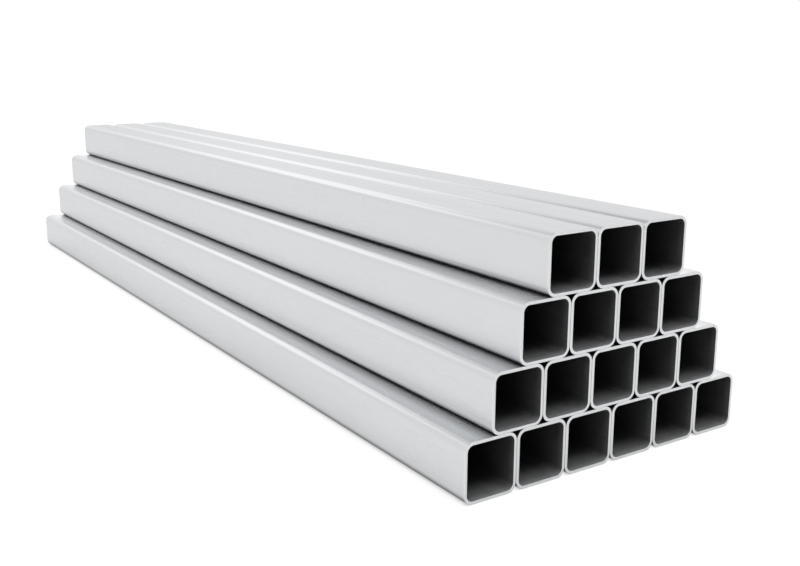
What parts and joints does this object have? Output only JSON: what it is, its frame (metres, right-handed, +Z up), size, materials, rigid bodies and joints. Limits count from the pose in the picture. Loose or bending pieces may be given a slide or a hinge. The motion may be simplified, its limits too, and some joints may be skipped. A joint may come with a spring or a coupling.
{
  "type": "stack of square steel tubes",
  "caption": "Pyramid stack of straight square steel tubes with rounded corners, open at both ends and flush front and back.",
  "frame": {"origin": "middle of the stack's underside, on the floor, halfway along the tubes", "axes": "+X across the stack to the right as the picture looks, +Y along the tubes away from the ends that the picture looks into, +Z up"},
  "size_m": [1.57, 6.1, 1.04],
  "materials": {
    "tube_steel": "satin mill finish, sawn ends"
  },
  "bodies": {
    "root": {"layer_1_tube_1": "tube_steel", "layer_1_tube_2": "tube_steel", "layer_1_tube_3": "tube_steel", "layer_1_tube_4": "tube_steel", "layer_1_tube_5": "tube_steel", "layer_1_tube_6": "tube_steel", "layer_2_tube_1": "tube_steel", "layer_2_tube_2": "tube_steel", "layer_2_tube_3": "tube_steel", "layer_2_tube_4": "tube_steel", "layer_2_tube_5": "tube_steel", "layer_3_tube_1": "tube_steel", "layer_3_tube_2": "tube_steel", "layer_3_tube_3": "tube_steel", "layer_3_tube_4": "tube_steel", "layer_4_tube_1": "tube_steel", "layer_4_tube_2": "tube_steel", "layer_4_tube_3": "tube_steel"}
  },
  "joints": []
}
